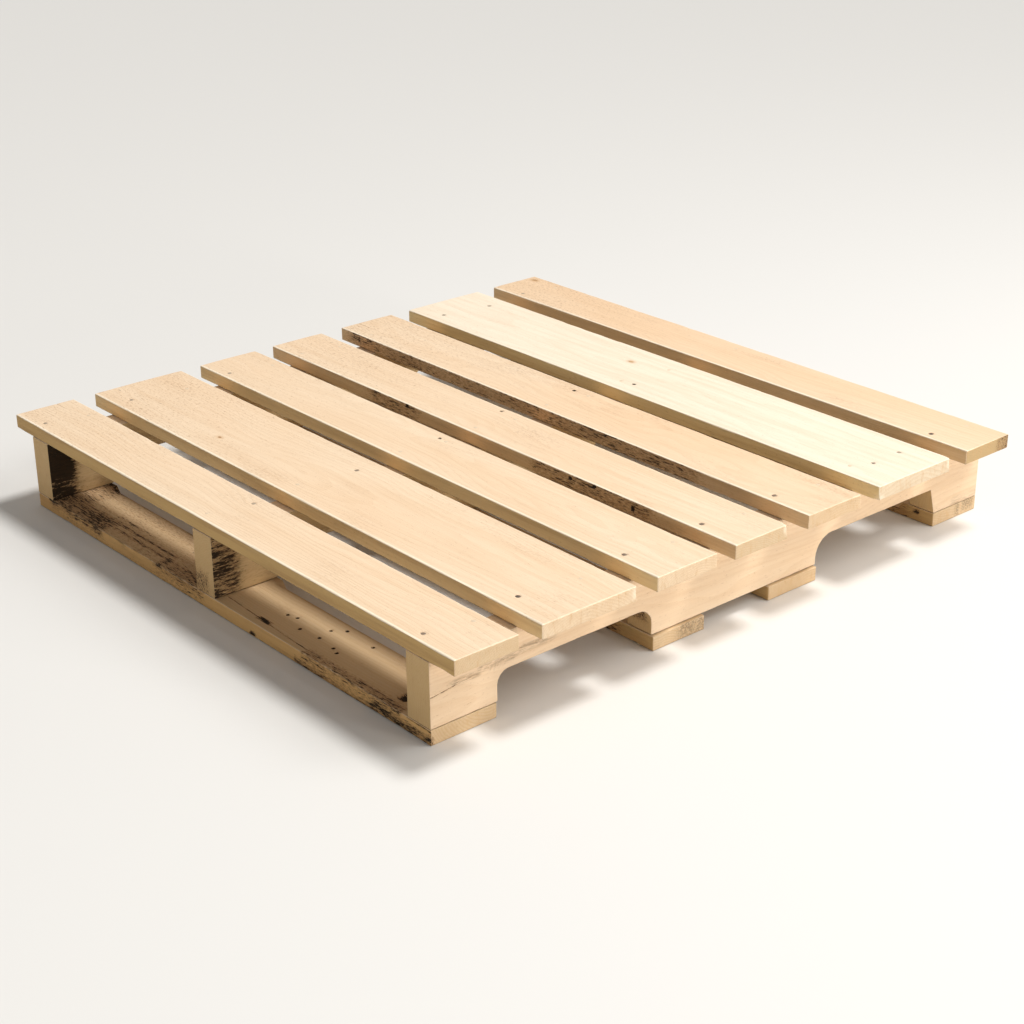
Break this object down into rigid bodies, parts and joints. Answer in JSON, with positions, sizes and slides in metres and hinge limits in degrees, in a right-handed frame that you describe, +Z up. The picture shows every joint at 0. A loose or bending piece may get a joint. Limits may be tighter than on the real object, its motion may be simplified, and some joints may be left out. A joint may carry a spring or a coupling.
{
  "type": "wooden pallet",
  "caption": "Square timber pallet: spaced deckboards nailed over notched stringers, with bottom boards, open to forks from all four sides.",
  "frame": {"origin": "on the floor, at the middle of the pallet's footprint", "axes": "+X along the deckboards, +Y along the stringers towards the back, +Z up"},
  "size_m": [1.165, 1.165, 0.15],
  "materials": {
    "deck_wood": "rough sawn, bare",
    "stringer_wood": "rough sawn, bare",
    "bottom_wood": "rough sawn, bare, dirty",
    "nail_steel": "dull"
  },
  "bodies": {
    "root": {"top_board_1": "deck_wood", "top_board_2": "deck_wood", "top_board_3": "deck_wood", "top_board_4": "deck_wood", "top_board_5": "deck_wood", "top_board_6": "deck_wood", "top_board_7": "deck_wood", "stringer_left": "stringer_wood", "stringer_middle": "stringer_wood", "stringer_right": "stringer_wood", "bottom_board_front": "bottom_wood", "bottom_board_centre_front": "bottom_wood", "bottom_board_centre_back": "bottom_wood", "bottom_board_back": "bottom_wood", "nail_1_left_a": "nail_steel", "nail_1_left_b": "nail_steel", "nail_1_middle_a": "nail_steel", "nail_1_middle_b": "nail_steel", "nail_1_right_a": "nail_steel", "nail_1_right_b": "nail_steel", "nail_2_left_a": "nail_steel", "nail_2_left_b": "nail_steel", "nail_2_middle_a": "nail_steel", "nail_2_middle_b": "nail_steel", "nail_2_right_a": "nail_steel", "nail_2_right_b": "nail_steel", "nail_3_left_a": "nail_steel", "nail_3_left_b": "nail_steel", "nail_3_middle_a": "nail_steel", "nail_3_middle_b": "nail_steel", "nail_3_right_a": "nail_steel", "nail_3_right_b": "nail_steel", "nail_4_left_a": "nail_steel", "nail_4_left_b": "nail_steel", "nail_4_middle_a": "nail_steel", "nail_4_middle_b": "nail_steel", "nail_4_right_a": "nail_steel", "nail_4_right_b": "nail_steel", "nail_5_left_a": "nail_steel", "nail_5_left_b": "nail_steel", "nail_5_middle_a": "nail_steel", "nail_5_middle_b": "nail_steel", "nail_5_right_a": "nail_steel", "nail_5_right_b": "nail_steel", "nail_6_left_a": "nail_steel", "nail_6_left_b": "nail_steel", "nail_6_middle_a": "nail_steel", "nail_6_middle_b": "nail_steel", "nail_6_right_a": "nail_steel", "nail_6_right_b": "nail_steel", "nail_7_left_a": "nail_steel", "nail_7_left_b": "nail_steel", "nail_7_middle_a": "nail_steel", "nail_7_middle_b": "nail_steel", "nail_7_right_a": "nail_steel", "nail_7_right_b": "nail_steel"}
  },
  "joints": []
}
